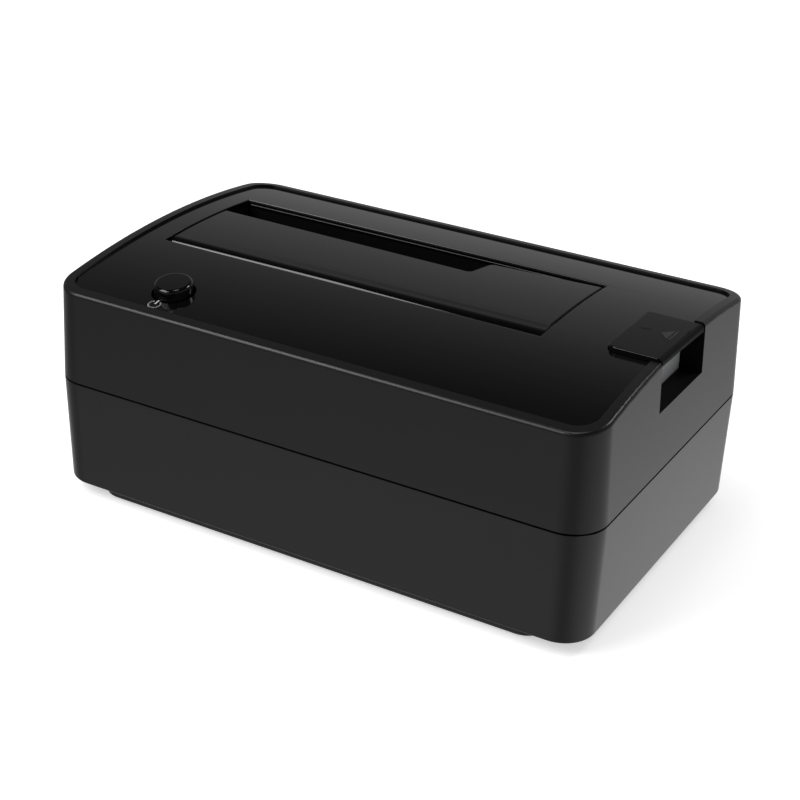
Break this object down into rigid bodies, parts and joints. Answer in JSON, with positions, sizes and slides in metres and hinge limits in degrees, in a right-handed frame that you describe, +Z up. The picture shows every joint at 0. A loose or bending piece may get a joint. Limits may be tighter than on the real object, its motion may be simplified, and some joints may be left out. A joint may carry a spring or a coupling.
{
  "type": "hard drive docking station",
  "caption": "Black desktop dock for a bare disk drive stood on end, with a sprung door over its bay, a side eject tab, a round power button and rear ports.",
  "frame": {"origin": "on the table, under the middle of the body's outline", "axes": "+X to the right along the long side, +Y to the back, where the ports are, and +Z up; the front faces -Y"},
  "size_m": [0.144, 0.0904, 0.0591],
  "materials": {
    "shell": "fine satin texture, charcoal",
    "gloss_black": "high gloss, near black",
    "bay_black": "satin black",
    "lever_grey": "satin grey",
    "steel": "drawn wire and ground pin",
    "screw_steel": "zinc plated",
    "port_shell": "nickel plated",
    "circuit_board": "green solder mask",
    "connector_black": "moulded black",
    "contact_gold": "gold plated",
    "usb_blue": "moulded blue",
    "chip_black": "moulded package",
    "can_aluminium": "drawn can",
    "connector_white": "moulded off-white",
    "clear_pipe": "clear moulded",
    "lead_sheath": "black sheath",
    "foot_rubber": "matt black rubber"
  },
  "bodies": {
    "base": {"lower_shell": "shell", "upper_shell": "shell", "top_panel": "gloss_black", "drive_bay": "bay_black", "hinge_pins": "steel", "door_spring": "steel", "lever_pin": "steel", "main_board": "circuit_board", "drive_socket": "connector_black", "socket_contacts": "contact_gold", "usb_case": "port_shell", "usb_insert": "usb_blue", "power_inlet": "connector_black", "inlet_pin": "port_shell", "bridge_chip": "chip_black", "memory_chip": "chip_black", "clock_crystal": "port_shell", "power_coil": "chip_black", "capacitors": "can_aluminium", "lead_header": "connector_white", "lead_plug": "connector_white", "switch_lead": "lead_sheath", "switch_board": "circuit_board", "switch_housing": "connector_black", "status_light": "clear_pipe", "light_pipe": "clear_pipe", "board_screws": "screw_steel", "bay_screws": "screw_steel", "switch_board_screws": "screw_steel", "case_screws": "screw_steel", "rubber_feet": "foot_rubber", "eject_spring": "steel", "switch_spring": "steel"},
    "door": {"door_flap": "gloss_black"},
    "eject": {"eject_button": "gloss_black", "stem_clip": "steel"},
    "lever": {"eject_lever": "lever_grey"},
    "power": {"power_button": "gloss_black", "switch_plunger": "connector_white"}
  },
  "joints": [
    {"name": "door_hinge", "type": "hinge", "parent": "base", "child": "door", "pos_m": [0, -0.0077, 0.05444], "axis": [1, 0, 0], "range_deg": [-88, 0], "stiffness_Nm_per_rad": 0.01, "springref_deg": 17.19},
    {"name": "eject_slide", "type": "slide", "parent": "base", "child": "eject", "axis": [0, 0, -1], "range_m": [0, 0.006], "stiffness_N_per_m": 300, "springref_m": -0.002, "deforming": ["eject_spring"]},
    {"name": "lever_pivot", "type": "hinge", "parent": "base", "child": "lever", "pos_m": [0.036, 0.0195, 0.0122], "axis": [0, 1, 0], "range_deg": [0, 13.5]},
    {"name": "power_slide", "type": "slide", "parent": "base", "child": "power", "axis": [0, 0, -1], "range_m": [0, 0.0015], "stiffness_N_per_m": 400, "springref_m": -0.002, "deforming": ["switch_spring"]}
  ],
  "couplings": [
    {"joint": "lever_pivot", "follows": "eject_slide", "rad_per_m": 39.062}
  ]
}
